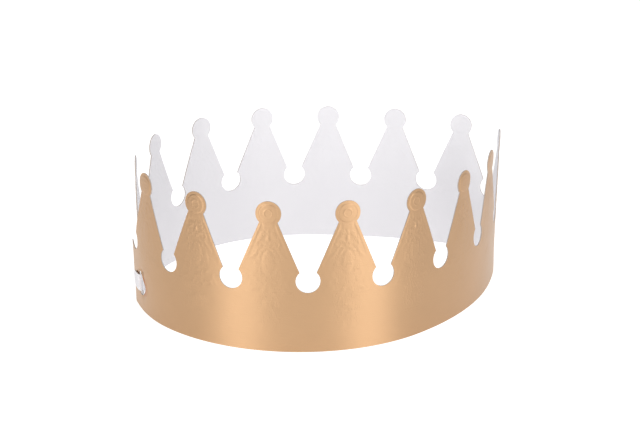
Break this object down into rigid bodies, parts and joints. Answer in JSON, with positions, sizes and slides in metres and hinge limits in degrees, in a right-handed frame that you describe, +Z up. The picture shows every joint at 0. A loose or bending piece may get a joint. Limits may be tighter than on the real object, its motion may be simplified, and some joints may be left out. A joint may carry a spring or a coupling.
{
  "type": "paper crown",
  "caption": "Ring-shaped card crown with ball-tipped spikes, cut from one strip and hooked to itself through a hole.",
  "frame": {"origin": "middle of the ring's box, on the plane that its bottom edge stands on", "axes": "+Z up, +X along the ring's longer side, -Y at its front"},
  "size_m": [0.1944, 0.1622, 0.0772],
  "materials": {
    "foil_card": "card with a satin rose-gold foil on its outside and plain white inside"
  },
  "bodies": {
    "root": {"crown_band": "foil_card"}
  },
  "joints": []
}
